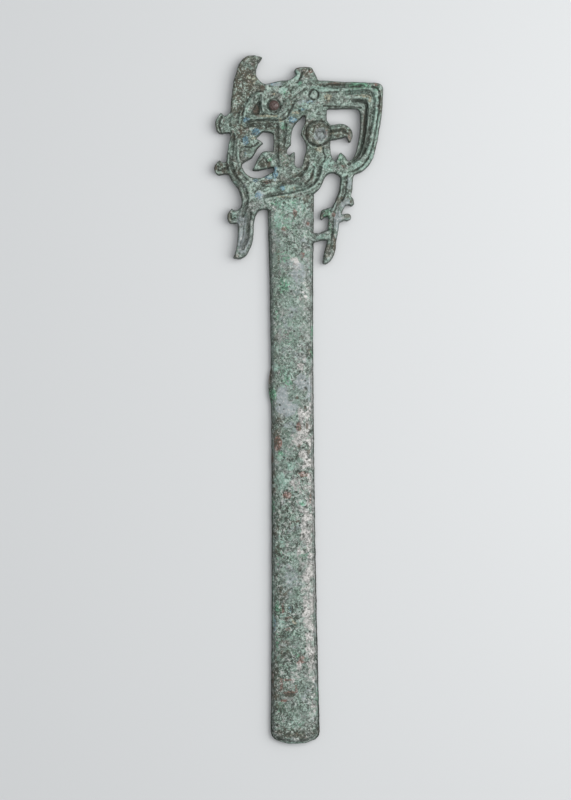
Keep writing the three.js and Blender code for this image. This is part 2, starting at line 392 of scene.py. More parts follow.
# Fine lines on the front, beside the main grooves that the solid already has, as points in millimetres.
FINE_GROOVES = {
    "loop rim": [
        (32.0, 51.4), (34.7, 49.9), (35.1, 46.7), (34.8, 41.4), (34.1, 36.6), (33.3, 31.4),
        (32.7, 27.9), (31.7, 24.0), (29.8, 19.7), (26.8, 16.2), (23.3, 14.5),
    ],
    "loop inside": [
        (23.3, 45.1), (27.7, 45.0), (29.4, 43.2), (29.1, 37.1), (28.5, 31.4), (27.2, 24.4),
        (25.1, 20.2), (21.4, 17.6),
    ],
    "loop foot": [(29.2, 24.4), (27.4, 21.0), (24.6, 18.6), (21.6, 17.3)],
    "under lid": [
        (-22.5, 35.3), (-20.7, 36.4), (-17.7, 36.8), (-13.3, 36.7), (-8.1, 36.8), (-5.0, 38.4),
        (-3.2, 41.9), (-1.6, 44.9),
    ],
    "window edge": [(10.9, 42.9), (16.8, 42.6), (23.3, 42.5), (27.2, 42.0)],
    "upper jaw slot": [(-15.7, 9.3), (-12.0, 10.1)],
    "middle jaw slot": [(-3.7, 11.7), (-0.7, 12.7), (1.5, 14.4)],
    "jaw hinge slot": [(2.8, 9.0), (4.7, 10.8), (6.0, 13.4), (6.6, 16.4)],
    "lower fang": [(-20.1, 15.4), (-18.5, 18.1), (-16.2, 20.8), (-14.6, 20.2), (-13.7, 18.3)],
    "upper fang": [(-23.6, 24.9), (-21.2, 25.2), (-19.0, 26.0), (-17.6, 26.9)],
    "ring side": [(2.9, 34.4), (2.2, 31.4), (2.8, 28.3), (4.2, 26.0)],
    "first barb": [(-33.8, 31.6), (-34.7, 34.0), (-34.3, 36.4), (-33.4, 38.4)],
    "second barb": [(-32.4, 16.0), (-34.6, 14.9), (-35.2, 16.8)],
    "third barb": [(-27.7, -5.7), (-29.2, -6.2), (-29.6, -3.9)],
    "crest": [(-0.8, 53.0), (0.9, 55.2), (1.4, 57.6)],
    "neck": [(10.6, 24.4), (11.3, 20.6), (10.4, 17.2)],
    "foot": [
        (-11.2, -229.2), (-9.8, -231.6), (-7.2, -233.0), (-0.8, -233.6), (4.3, -232.8), (6.9, -231.0),
        (8.4, -227.6),
    ],
    "strut side": [(20.9, 12.2), (20.8, 8.4), (20.2, 4.6), (18.8, 1.6)],
}
FINE_RIDGES = {
    "loop band": [
        (20.3, 46.7), (27.7, 46.7), (30.2, 45.6), (30.4, 42.0), (30.2, 37.4), (29.6, 31.4),
        (28.5, 25.6),
    ],
    "top band": [(9.0, 49.6), (17.0, 49.9), (26.8, 50.6), (33.0, 50.2)],
    "jaw upper": [(-16.0, 7.4), (-11.6, 8.7), (-5.0, 10.1), (0.7, 11.9), (3.4, 14.4), (4.7, 17.6)],
    "jaw lower": [
        (-14.2, 2.2), (-11.2, 2.9), (-5.5, 4.0), (0.7, 5.2), (5.5, 7.0), (8.6, 10.0),
        (10.4, 14.0), (10.6, 17.6),
    ],
    "under lid": [(-21.1, 35.4), (-18.1, 35.9), (-14.2, 35.8)],
    "upper lid": [(-23.6, 38.4), (-22.8, 42.8), (-20.4, 46.6), (-17.0, 48.6), (-15.4, 47.6)],
    "beside the eye": [(-15.6, 47.0), (-15.6, 44.0), (-15.6, 41.0), (-14.2, 38.6), (-10.4, 38.2)],
    "behind the eye": [(-9.6, 38.2), (-6.8, 39.8), (-4.9, 43.2), (-2.9, 47.0), (0.4, 49.7), (3.0, 51.6)],
    "strut": [(18.9, 12.8), (18.8, 9.2), (18.0, 4.4), (16.0, 0.6), (14.7, -2.6)],
    "strut foot": [(15.7, -7.4), (15.6, -11.0), (14.9, -15.0)],
    "inner cheek": [
        (-26.2, 27.6), (-26.5, 24.0), (-26.2, 20.1), (-25.2, 16.4), (-23.2, 12.8), (-20.4, 10.2),
    ],
    "cheek": [
        (-30.2, 30.0), (-30.4, 25.7), (-30.6, 20.5), (-30.2, 16.6), (-27.9, 11.8), (-25.0, 7.4),
        (-24.0, 2.2), (-25.0, -2.2),
    ],
    "pendant": [(-22.0, -3.9), (-22.9, -9.2), (-23.5, -14.4), (-25.2, -19.6)],
    "beak top": [(12.0, 32.4), (15.6, 33.2), (19.4, 33.4), (21.4, 31.8)],
    "beak middle": [(13.4, 30.6), (17.0, 31.0), (20.4, 30.6)],
    "fang": [(-14.4, 22.2), (-17.4, 19.4), (-19.4, 16.4)],
    "brow front": [(-25.6, 35.4), (-25.4, 38.4), (-24.4, 42.0)],
}
LINE_STEPS = 6

# Grooved rings, as (x, y, radius) in millimetres.
RINGS = {"eye": (-10.7, 43.1, 2.8), "boss": (8.5, 31.0, 5.5), "whorl": (6.6, 47.8, 2.1)}
RING_STEPS = 16

# A patch has faded out at this many times its half width and half length.
PATCH_REACH = 1.5

# Where each layer lies, as (x, y, half its width, half its length, how much of it shows from 0 to 1), in
# millimetres: corrosion and earth, tones of the patina, worn plates (silver), broken skin (rough), the eye
# bead, the flat root of the strut's tie (level), dark umber marks that are painted shade in the head's
# hollows and beside its raised parts and dark cracks on the blade, and where the edge swells.
LAYERS = {
    "malachite": [
        (26.0, 51.9, 5.2, 1.7, 0.9), (33.8, 50.2, 1.4, 1.0, 0.7), (12.2, -4.2, 1.5, 2.2, 1.0),
        (13.8, -10.0, 0.7, 2.4, 0.7), (18.0, 20.6, 1.5, 1.9, 0.6), (0.4, 52.6, 1.4, 1.2, 0.6),
        (-5.4, 48.6, 2.0, 1.2, 0.5), (-6.0, 34.0, 1.7, 1.5, 0.6), (-12.6, 19.4, 1.5, 1.2, 0.6),
        (-6.2, 18.0, 1.2, 2.2, 0.4), (-9.5, 0.4, 2.6, 2.0, 0.5), (-2.0, 1.0, 3.0, 1.6, 0.4),
        (-6.0, -7.0, 5.0, 5.0, 0.3), (-6.4, -22.0, 3.0, 4.0, 0.35), (-6.4, -35.2, 2.6, 3.6, 0.6),
        (-9.6, -48.0, 1.6, 3.0, 0.3), (6.8, -55.4, 1.6, 3.4, 0.7), (6.0, -65.0, 2.2, 2.2, 0.6),
        (-4.0, -58.0, 4.0, 5.0, 0.25), (-5.0, -76.0, 3.0, 5.0, 0.4), (-11.3, -82.5, 1.7, 2.4, 1.0),
        (-11.9, -86.6, 1.1, 1.8, 0.5), (-11.4, -131.0, 1.2, 5.0, 0.6),
        (1.4, -130.2, 1.2, 1.0, 0.6), (-8.0, -108.5, 2.0, 2.0, 0.5), (-9.0, -176.0, 1.6, 3.0, 0.8),
        (-9.4, -190.0, 1.6, 4.0, 0.4), (-8.0, -198.0, 2.6, 2.6, 0.35), (-2.4, -188.0, 3.0, 3.0, 0.3),
        (1.0, -226.0, 2.4, 1.8, 0.3), (8.6, -214.0, 1.4, 6.0, 0.5), (-1.0, -196.0, 2.0, 1.6, 0.4),
        (-8.0, -217.0, 2.0, 4.0, 0.3), (3.0, -100.0, 2.0, 3.0, 0.25), (-8.0, -154.0, 2.4, 6.0, 0.3),
        (2.0, -152.0, 2.4, 4.0, 0.25), (6.0, -30.0, 2.0, 4.0, 0.2), (1.4, 37.0, 1.0, 4.0, 0.3),
    ],
    "azurite": [
        (-10.2, 13.6, 1.2, 2.9, 0.9), (-12.6, 11.9, 2.0, 0.8, 0.9), (-18.5, 31.6, 1.9, 1.5, 1.0),
        (-23.0, 28.0, 1.4, 1.9, 1.0), (-22.8, 36.8, 1.5, 1.3, 0.9), (-2.6, 36.8, 1.9, 1.5, 0.9),
        (-7.0, 7.2, 1.1, 1.3, 0.9), (-17.6, 3.4, 2.2, 2.8, 0.45), (-18.6, 10.6, 1.4, 1.0, 0.5),
        (-11.0, 52.4, 3.0, 1.2, 0.35), (4.4, 45.0, 3.0, 1.4, 0.4),
        (-23.0, 23.0, 1.0, 2.4, 0.4), (1.6, 41.4, 2.4, 0.8, 0.5),
        (-5.0, -188.0, 1.4, 1.4, 0.4), (-3.4, -176.0, 1.2, 1.6, 0.5), (-10.4, -182.0, 1.0, 4.0, 0.4),
    ],
    "cuprite": [
        (5.1, -127.5, 0.8, 2.6, 0.6), (-18.6, 41.4, 1.6, 2.4, 0.6), (5.4, 58.0, 1.6, 1.4, 0.6),
        (34.0, 52.4, 1.6, 0.9, 0.6), (15.2, -4.2, 0.9, 1.4, 0.8), (22.2, 29.4, 0.9, 1.6, 0.5),
        (11.8, 31.0, 1.0, 3.4, 0.4), (-13.6, 9.8, 2.2, 0.8, 0.7), (-1.8, 12.0, 1.2, 0.7, 0.5),
        (-9.0, -103.8, 1.7, 3.4, 1.0), (0.2, -96.5, 1.2, 2.0, 0.9), (-5.1, -126.5, 1.9, 1.8, 0.9),
        (-1.6, -3.4, 1.1, 2.0, 0.7), (-6.4, -10.6, 1.5, 1.4, 0.6), (4.0, -8.2, 1.1, 1.1, 0.5),
        (1.8, -22.0, 1.4, 1.9, 0.5), (9.0, -63.4, 0.8, 3.0, 1.0), (8.4, -52.0, 0.8, 1.6, 0.6),
        (-12.6, -74.6, 1.0, 4.0, 0.7), (1.9, -117.3, 2.4, 1.4, 0.8), (-9.2, -200.0, 1.0, 2.4, 0.3),
        (-4.0, -212.4, 3.2, 0.9, 0.8), (-7.6, -209.0, 1.0, 3.6, 0.6), (1.4, -197.0, 1.8, 0.9, 0.6),
        (-6.8, -176.0, 0.8, 3.2, 0.7), (-4.4, -180.0, 2.4, 1.4, 0.5), (-26.8, 13.0, 1.2, 1.6, 0.5),
        (19.2, 16.8, 1.4, 1.0, 0.5), (16.0, 52.6, 4.0, 0.7, 0.6), (1.6, 25.6, 0.7, 4.4, 0.5),
        (-11.6, -110.0, 0.9, 3.0, 0.5), (9.0, -229.0, 1.2, 2.0, 0.5), (3.0, -231.6, 4.0, 0.8, 0.4),
        (-11.2, -205.0, 0.9, 4.0, 0.5), (-11.2, -214.0, 0.8, 3.0, 0.4),
        (-4.6, -206.8, 2.6, 0.7, 0.7), (-6.6, -215.8, 2.0, 0.8, 0.7), (-0.9, -210.5, 0.7, 2.6, 0.6),
        (0.9, -199.0, 2.2, 1.2, 0.6), (-4.4, -184.6, 1.6, 1.0, 0.6),
    ],
    "clay": [
        (-20.4, 54.4, 2.6, 2.3, 0.8), (9.0, 24.2, 1.7, 2.0, 0.6), (28.4, 47.4, 3.2, 0.8, 0.7),
        (30.9, 45.6, 0.8, 1.4, 0.9), (14.6, 31.2, 1.4, 2.0, 0.4), (12.7, 46.8, 1.7, 2.2, 0.7),
        (-13.6, 38.4, 5.0, 0.7, 0.7), (-1.0, 40.0, 1.9, 0.8, 0.6), (-10.9, 48.0, 1.3, 0.8, 0.5),
        (-19.8, 28.8, 1.2, 0.7, 0.7), (-2.6, 7.2, 2.4, 0.9, 0.5), (6.4, 11.0, 1.0, 1.6, 0.4),
        (-6.0, 3.4, 6.0, 0.4, 0.6), (-2.0, -181.5, 1.2, 1.1, 0.7), (4.9, -63.7, 1.0, 1.4, 0.4),
        (2.6, 22.0, 0.6, 3.2, 0.5), (2.4, 37.6, 0.7, 1.4, 0.5), (-25.0, 33.6, 0.5, 2.2, 0.7),
        (21.4, 28.6, 0.7, 1.0, 0.5), (-8.0, 36.6, 1.4, 1.4, 0.5), (-3.4, 44.6, 0.8, 1.4, 0.4),
    ],
    "silver": [
        (4.6, -126.0, 3.6, 9.0, 0.8), (4.4, -142.0, 3.6, 9.0, 0.9), (5.2, -158.0, 3.4, 9.0, 0.8),
        (5.2, -174.0, 3.6, 9.0, 0.95), (5.8, -188.0, 3.0, 9.0, 1.0), (6.0, -202.0, 2.0, 6.0, 0.9),
        (7.0, -217.0, 1.4, 4.6, 0.95), (5.0, -108.0, 3.0, 8.0, 0.75), (3.0, -92.0, 3.6, 8.0, 0.7),
        (6.0, -80.0, 2.2, 10.0, 0.75), (0.6, -68.0, 2.8, 5.0, 0.5), (2.0, -38.0, 3.6, 9.0, 0.45),
        (-1.0, -27.0, 4.0, 5.0, 0.4), (-4.4, -88.0, 2.6, 4.0, 0.5), (0.6, -201.0, 1.6, 3.0, 0.6),
        (-1.0, -206.0, 2.4, 3.0, 0.5), (1.0, -150.0, 2.0, 8.0, 0.6),
        (-0.7, -102.7, 3.2, 3.6, 0.9), (1.6, -110.5, 2.4, 4.0, 0.9), (2.7, -98.8, 2.4, 4.6, 0.7),
        (-1.0, -121.2, 2.4, 3.0, 0.8), (1.7, -132.4, 1.6, 2.0, 0.9),
        (0.2, -128.5, 1.8, 1.8, 0.8), (1.2, -70.5, 3.4, 3.0, 0.6),
    ],
    "rough": [
        (-24.0, 56.0, 5.6, 9.0, 1.0), (-26.0, 44.0, 4.4, 7.0, 0.8), (-26.0, 32.0, 4.6, 5.0, 0.7),
        (-30.0, 15.0, 5.4, 4.6, 0.9), (-34.0, 35.0, 2.4, 4.4, 0.6), (-14.0, 34.4, 7.0, 1.8, 0.9),
        (-1.0, 45.0, 2.6, 4.4, 0.5), (4.0, 58.0, 2.4, 2.0, 0.7), (6.6, 33.0, 4.6, 3.6, 0.9),
        (10.6, 27.6, 3.0, 1.6, 0.8), (18.0, 31.6, 4.6, 2.2, 0.9), (-14.4, 18.4, 2.6, 2.2, 0.7),
        (1.4, 15.4, 2.4, 2.6, 0.7), (19.4, 1.4, 4.4, 2.6, 0.7), (15.4, -18.0, 2.2, 5.6, 0.8),
        (23.6, -5.0, 2.0, 1.4, 0.9), (-8.4, 26.0, 1.6, 6.0, 0.7), (-1.4, -230.0, 9.6, 3.4, 0.6),
        (-10.0, -208.0, 2.2, 12.0, 0.8), (-6.0, -192.0, 3.4, 7.0, 0.6), (8.4, -140.0, 1.4, 14.0, 0.6),
        (-10.6, -122.0, 1.8, 8.0, 0.7), (-9.6, -146.0, 3.0, 9.0, 0.6), (-28.0, 7.0, 2.4, 3.0, 0.7),
        (35.4, 40.0, 1.0, 12.0, 0.7), (33.6, 24.0, 1.4, 6.0, 0.7), (5.6, 0.0, 2.2, 3.4, 0.6),
        (1.6, -58.0, 2.6, 2.0, 0.4), (-9.6, -60.0, 1.6, 8.0, 0.5), (-9.6, -98.0, 2.4, 8.0, 0.7),
        (-4.0, -212.0, 3.4, 4.0, 0.7), (-7.0, -168.0, 3.0, 6.0, 0.5), (-9.0, -20.0, 1.6, 9.0, 0.4),
        (8.6, -164.0, 1.0, 20.0, 0.6), (-4.0, -137.0, 3.0, 4.0, 0.5), (12.0, 52.0, 8.0, 0.8, 0.7),
    ],
    "bead": [(-10.7, 43.1, 2.4, 2.4, 1.0)],
    "level": [(10.0, -13.4, 3.8, 3.2, 1.0)],
    "dun": [
        (-25.1, 53.1, 4.5, 9.0, 0.95), (-21.0, 62.7, 4.5, 2.5, 0.9), (-19.0, 51.1, 4.0, 1.6, 0.8),
        (-27.1, 43.6, 1.8, 6.0, 0.6), (-35.0, 32.7, 1.4, 1.2, 0.6), (-16.9, 35.4, 5.5, 1.4, 0.9),
        (-23.7, 33.4, 2.0, 1.2, 0.8), (-18.3, 25.2, 1.6, 1.6, 0.5), (-15.6, 18.4, 1.8, 2.2, 0.9),
        (-34.0, 15.0, 2.8, 2.4, 0.8), (-27.1, 13.0, 2.6, 3.0, 0.8), (-6.7, 24.5, 2.2, 5.0, 0.6),
        (-6.0, 18.4, 2.4, 2.6, 0.6), (-12.9, 10.2, 3.4, 0.8, 1.0), (-0.6, 13.0, 3.0, 1.2, 0.8),
        (3.5, 9.6, 1.4, 1.2, 0.7), (8.5, 31.0, 5.4, 5.4, 0.95), (19.2, 31.4, 4.6, 2.6, 0.9),
        (21.5, 28.3, 1.4, 1.6, 1.0), (8.9, 26.6, 3.0, 1.0, 0.8), (3.5, 57.2, 2.2, 2.6, 0.8),
        (16.4, 52.5, 5.0, 0.8, 1.0), (33.8, 52.5, 1.4, 1.0, 1.0), (35.8, 45.0, 0.7, 6.0, 0.8),
        (-4.0, 47.7, 1.2, 2.6, 0.6), (3.5, 19.1, 1.2, 4.0, 0.9), (3.5, 2.7, 3.0, 2.2, 0.6),
        (17.1, 2.0, 1.6, 1.8, 0.8), (10.0, -4.7, 0.9, 1.2, 0.9), (21.5, -5.0, 1.6, 1.0, 0.8),
        (23.2, 1.4, 1.0, 1.4, 0.6), (12.3, -19.7, 1.6, 3.0, 0.8), (15.8, -19.0, 0.8, 4.0, 0.8),
        (-27.1, -22.4, 1.6, 1.0, 0.8), (-30.2, -5.4, 0.8, 2.6, 0.9), (-2.0, -230.6, 7.0, 1.2, 0.6),
        (9.4, -66.0, 0.8, 12.0, 0.6), (9.4, -136.0, 0.9, 10.0, 0.6), (-12.0, -74.0, 0.9, 4.0, 0.7),
    ],
    "mist": [
        (9.5, 30.3, 2.9, 2.9, 1.0), (-10.1, 52.5, 4.0, 1.2, 0.7), (0.1, 53.1, 1.6, 1.4, 0.5),
        (1.6, 44.6, 3.0, 1.6, 0.5), (-24.4, -16.3, 3.0, 5.0, 0.8), (-24.4, -7.5, 3.0, 3.6, 0.6),
        (20.5, 0.7, 2.0, 2.4, 0.9), (17.1, -6.8, 1.8, 4.4, 0.9), (21.9, 8.9, 1.6, 3.0, 0.7),
        (-16.9, 4.1, 2.4, 2.4, 0.7), (-23.7, 7.5, 1.4, 2.0, 0.5), (-4.6, -89.0, 4.6, 3.0, 1.0),
        (-7.1, -83.0, 2.6, 4.6, 0.9), (1.2, -76.9, 3.2, 4.0, 0.7), (4.6, -79.8, 1.6, 7.0, 0.6),
        (0.1, -30.0, 6.0, 6.0, 0.5), (1.0, -16.0, 4.0, 3.0, 0.4), (-2.0, -47.0, 4.0, 5.0, 0.4),
        (-4.0, -96.0, 3.0, 3.0, 0.4), (-3.0, -162.0, 4.0, 6.0, 0.4), (3.0, -214.0, 3.0, 6.0, 0.4),
    ],
    "teal": [
        (33.5, 36.8, 1.4, 10.0, 0.8), (33.5, 47.0, 1.6, 3.6, 0.8), (27.3, 17.0, 5.0, 2.0, 0.7),
        (31.4, 23.2, 2.0, 5.0, 0.7), (11.0, 50.4, 6.0, 1.4, 0.8), (23.9, 49.0, 6.0, 1.2, 0.8),
        (-5.4, 6.8, 9.0, 2.2, 0.6), (6.2, 15.0, 2.2, 4.0, 0.6), (13.0, 17.7, 3.0, 3.0, 0.6),
        (-12.2, 38.2, 4.0, 1.0, 0.6), (-23.0, 42.2, 1.4, 3.4, 0.6), (-6.7, 49.7, 2.6, 1.4, 0.7),
        (-0.6, 56.5, 1.6, 2.4, 0.8), (-6.7, 34.8, 2.4, 2.4, 0.6), (1.5, 42.9, 3.6, 2.0, 0.5),
        (-14.9, 21.1, 1.6, 1.4, 0.5), (19.5, 10.9, 1.0, 4.0, 0.6), (11.0, -13.9, 3.0, 1.4, 0.6),
        (-29.9, 25.2, 1.0, 4.0, 0.6), (-27.8, 9.6, 1.4, 2.0, 0.7), (-27.8, -4.7, 1.6, 2.0, 0.6),
        (-3.6, -0.6, 8.0, 3.6, 0.6), (-8.8, -6.4, 2.6, 5.0, 0.6), (-7.5, -120.7, 3.2, 3.8, 0.9),
        (1.7, -129.9, 1.6, 1.4, 0.8), (-10.5, -71.0, 1.6, 1.6, 1.0), (-3.7, -113.9, 2.0, 3.6, 0.6),
        (-7.1, -110.4, 2.6, 2.2, 0.5), (-9.6, -62.0, 2.0, 4.0, 0.5), (-4.2, -72.5, 3.0, 3.6, 0.5),
        (-8.0, -146.0, 2.6, 5.0, 0.5), (-7.0, -182.0, 2.6, 5.0, 0.5), (-2.0, -226.0, 4.0, 3.0, 0.4),
        (-1.0, -235.0, 9.0, 1.1, 1.0), (-11.1, -167.0, 0.8, 5.0, 0.8), (-11.1, -181.0, 0.8, 3.4, 0.9),
        (-11.3, -197.0, 0.8, 3.0, 0.7), (-10.8, -148.0, 0.8, 4.0, 0.6),
    ],
    "soot": [
        (-18.4, 41.2, 1.4, 2.6, 1.0), (-15.8, 50.4, 1.4, 1.8, 0.7), (-25.0, 31.6, 0.7, 2.0, 0.6),
        (-13.0, 17.4, 1.2, 1.6, 0.6), (-17.2, 24.2, 1.6, 1.2, 0.5), (-7.2, 13.0, 1.6, 0.8, 0.5),
        (5.8, 12.4, 1.0, 3.0, 0.6), (-5.6, 45.6, 0.6, 3.4, 0.4), (12.6, 33.4, 1.0, 2.4, 0.5),
        (3.4, 31.0, 0.7, 4.0, 0.7), (-36.6, 37.0, 0.8, 3.4, 0.8), (-36.4, 17.0, 0.8, 3.0, 0.8),
        (-30.6, -4.0, 0.8, 2.4, 0.6), (-0.6, 59.4, 1.6, 0.6, 0.8), (-12.6, 59.6, 3.0, 0.6, 0.6),
        (3.7, -96.3, 0.5, 1.8, 1.0), (4.4, -107.5, 0.7, 1.4, 1.0), (0.2, -105.0, 0.8, 1.4, 0.7),
        (-0.7, -84.0, 1.0, 0.7, 0.8), (2.9, -88.5, 0.6, 0.8, 0.9), (-0.2, -137.7, 1.2, 0.6, 0.7),
        (3.4, 60.0, 3.4, 0.5, 0.8), (28.6, 33.0, 0.7, 9.0, 0.6), (24.0, -5.0, 1.6, 1.2, 0.6),
    ],
    "swelling": [
        (-12.4, -79.0, 2.2, 5.4, 1.0), (9.0, -61.0, 1.0, 6.0, 0.5), (10.6, -3.0, 0.8, 1.6, 0.5),
        (8.6, -120.0, 1.0, 3.0, 0.4), (-1.4, -234.4, 14.0, 1.6, 0.6),
    ],
}


def ring_points(x, y, radius):
    """Points evenly round a ring, closed."""
    turns = [2 * math.pi * step / RING_STEPS for step in range(RING_STEPS + 1)]
    return [(x + radius * math.cos(turn), y + radius * math.sin(turn)) for turn in turns]


def from_shoulder(x, y):
    """A place given in millimetres from the shoulder, in the frame's metres."""
    return Vector((x * MM, SHOULDER + y * MM, 0.0))


def smooth_line(points):
    """A Catmull-Rom line through the points, as a list of points close together."""
    knots = [from_shoulder(*point) for point in points]
    knots = [2 * knots[0] - knots[1], *knots, 2 * knots[-1] - knots[-2]]
    line = []
    for before, start, end, after in zip(knots, knots[1:], knots[2:], knots[3:], strict=False):
        for step in range(LINE_STEPS):
            t = step / LINE_STEPS
            slope_in, slope_out = (end - before) / 2, (after - start) / 2
            line.append(
                (2 * t**3 - 3 * t**2 + 1) * start
                + (t**3 - 2 * t**2 + t) * slope_in
                + (3 * t**2 - 2 * t**3) * end
                + (t**3 - t**2) * slope_out
            )
    return [*line, knots[-2]]


def line_object(name, lines):
    """The lines as the edges of one mesh object."""
    points, edges = [], []
    for given_points in lines.values():
        line = smooth_line(given_points)
        first = len(points)
        edges += [(first + i, first + i + 1) for i in range(len(line) - 1)]
        points += line
    mesh = bpy.data.meshes.new(name)
    mesh.from_pydata(points, edges, [])
    made = bpy.data.objects.new(name, mesh)
    bpy.context.scene.collection.objects.link(made)
    return made


def coordinates(mesh):
    places = np.empty(len(mesh.vertices) * 3, np.float32)
    mesh.vertices.foreach_get("co", places)
    return places.reshape(-1, 3)


def lay_on(mesh):
    """Writes each layer's strength to an attribute: a patch's cover in its middle, 0 well outside it."""
    places = coordinates(mesh)
    for name, patches in LAYERS.items():
        strength = np.zeros(len(places), np.float32)
        for x, y, across, along, cover in patches:
            middle = from_shoulder(x, y)
            off_x = (places[:, 0] - middle.x) / (across * MM)
            off_y = (places[:, 1] - middle.y) / (along * MM)
            soft = np.clip(PATCH_REACH - np.hypot(off_x, off_y), 0, 1)
            strength = np.maximum(strength, cover * soft)
        layer = mesh.attributes.new(name, "FLOAT", "POINT")
        layer.data.foreach_set("value", strength.astype(np.float32))


# ---- The casting's shape

BLADE_AXIS_TOP = -3.5 * MM
BLADE_AXIS_FOOT = -1.5 * MM
BLADE_LENGTH = 234.5 * MM
BLADE_HALF = 10.2 * MM

WORN_ROUNDS = 2
RELIEF_ROUNDS = 12
GROOVE_WIDTH = 1.3 * MM
RIDGE_WIDTH = 1.7 * MM
WOBBLE = 1.1 * MM
WOBBLE_SIZE = 2.4 * MM
LUMP_HEIGHT = 0.7 * MM
GRAIN_HEIGHT = 0.25 * MM
RASP_HEIGHT = 0.8 * MM
FLAKE_THICKNESS = 0.12 * MM
RAGGED_DEPTH = 0.7 * MM
SWELLING_WIDTH = 1.0 * MM
EDGE_LOSS = 0.1 * MM
STEEP = 0.35
WELD = 0.001 * MM


def named(graph, name):
    """A number stored on the mesh."""
    return graph.wire(graph.node("GeometryNodeInputNamedAttribute", {"Name": name}, data_type="FLOAT"))


def store(graph, geometry, name, value):
    """Stores a number on the mesh's points."""
    inputs = {"Geometry": geometry, "Name": name, "Value": value}
    kept = graph.node("GeometryNodeStoreNamedAttribute", inputs, data_type="FLOAT", domain="POINT")
    return graph.wire(kept)


def blurred(graph, value, rounds, kind="FLOAT"):
    inputs = {"Value": value, "Iterations": rounds}
    return graph.wire(graph.node("GeometryNodeBlurAttribute", inputs, data_type=kind))


def moved(graph, geometry, offset=None, position=None):
    inputs = {"Geometry": geometry}
    if offset is not None:
        inputs["Offset"] = offset
    if position is not None:
        inputs["Position"] = position
    return graph.wire(graph.node("GeometryNodeSetPosition", inputs))


def across_lines(graph, place, lines, width):
    """1 along the lines, falling to 0 at half the width to their sides."""
    source = graph.node("GeometryNodeObjectInfo", {"Object": lines})
    inputs = {"Geometry": graph.wire(source, "Geometry"), "Sample Position": place}
    nearest = graph.node("GeometryNodeProximity", inputs, target_element="EDGES")
    return graph.smooth(graph.wire(nearest, "Distance"), width / 2, 0.1 * width)


def blade_side(graph, x, y):
    """Where a point lies across the blade: -1 at its left edge, 1 at its right, 0 on its axis and off it."""
    down = (SHOULDER - y) * (1 / BLADE_LENGTH)
    axis = BLADE_AXIS_TOP + down * (BLADE_AXIS_FOOT - BLADE_AXIS_TOP)
    side = (x - axis) * (1 / BLADE_HALF)
    on_blade = graph.smooth(graph.math("ABSOLUTE", side), 1.3, 1.15)
    return side * on_blade * graph.smooth(down, 0.0, 0.05)


def fine_relief(graph, given, place, shifted, x, y):
    """Height of the fine ridges and grooves, which waver a little, less the fall to the blade's edges."""
    sway_x = (graph.noise(place, WOBBLE_SIZE) - 0.5) * WOBBLE
    sway_y = (graph.noise(shifted, WOBBLE_SIZE) - 0.5) * WOBBLE
    in_plan = graph.wire(graph.node("ShaderNodeCombineXYZ", {"X": x + sway_x, "Y": y + sway_y}))
    grooves = across_lines(graph, in_plan, graph.wire(given, "Grooves"), GROOVE_WIDTH)
    ridges = across_lines(graph, in_plan, graph.wire(given, "Ridges"), RIDGE_WIDTH)
    height = ridges * graph.wire(given, "Ridge height")
    height = height - grooves * graph.wire(given, "Groove depth")
    side = blade_side(graph, x, y)
    drop = graph.math("ABSOLUTE", side * side * side)
    return height - drop * (1.0 - named(graph, "level")) * graph.wire(given, "Crown")


def pitted(graph, place, shifted):
    """1 in the middle of the corrosion pits, which lie in drifts: wide deep ones and small shallow ones."""
    deep = graph.smooth(graph.cells(place, 2.6 * MM), 0.34, 0.1)
    deep = deep * graph.smooth(graph.noise(shifted, 7 * MM), 0.42, 0.58)
    small = graph.smooth(graph.cells(shifted, 1.25 * MM), 0.36, 0.08)
    small = small * graph.smooth(graph.noise(place, 4 * MM), 0.4, 0.56)
    return graph.highest(deep, small * 0.55)


def crusted(graph, shifted):
    """1 where a crust of corrosion or earth stands on the skin."""
    scab = graph.highest(named(graph, "malachite"), named(graph, "azurite"))
    scab = graph.highest(scab, graph.highest(named(graph, "clay"), named(graph, "cuprite") * 0.6))
    return graph.smooth(scab + (graph.noise(shifted, 1.6 * MM, 3.0) - 0.5) * 1.2, 0.45, 0.8)


def unevenness(graph, place, shifted):
    """Heights of the skin's lumps and grain, and of the rasp on its roughest parts."""
    lumps = (graph.noise(place, 14 * MM, 2.0) - 0.5) * LUMP_HEIGHT
    grain = (graph.noise(place, 1.5 * MM, 4.0, 0.65) - 0.5) * GRAIN_HEIGHT
    rasp = (graph.noise(shifted, 2.1 * MM, 4.0, 0.6) - 0.5) * named(graph, "rough") * RASP_HEIGHT
    return lumps, grain, rasp


def ragged_edge(graph, place):
    """How far the side walls stand out: their ragged line, the swellings, and what the edge has lost."""
    ragged = (graph.noise(place, 3.2 * MM, 4.0, 0.6) - 0.5) * RAGGED_DEPTH
    swelling = named(graph, "swelling") * SWELLING_WIDTH
    return ragged + swelling + named(graph, "rough") * ragged - EDGE_LOSS


def with_marks(graph, skin, marks):
    """The skin with its marks for the finish: what each point knows, under the names given."""
    for name, value in marks.items():
        skin = store(graph, skin, name, value)
    return skin


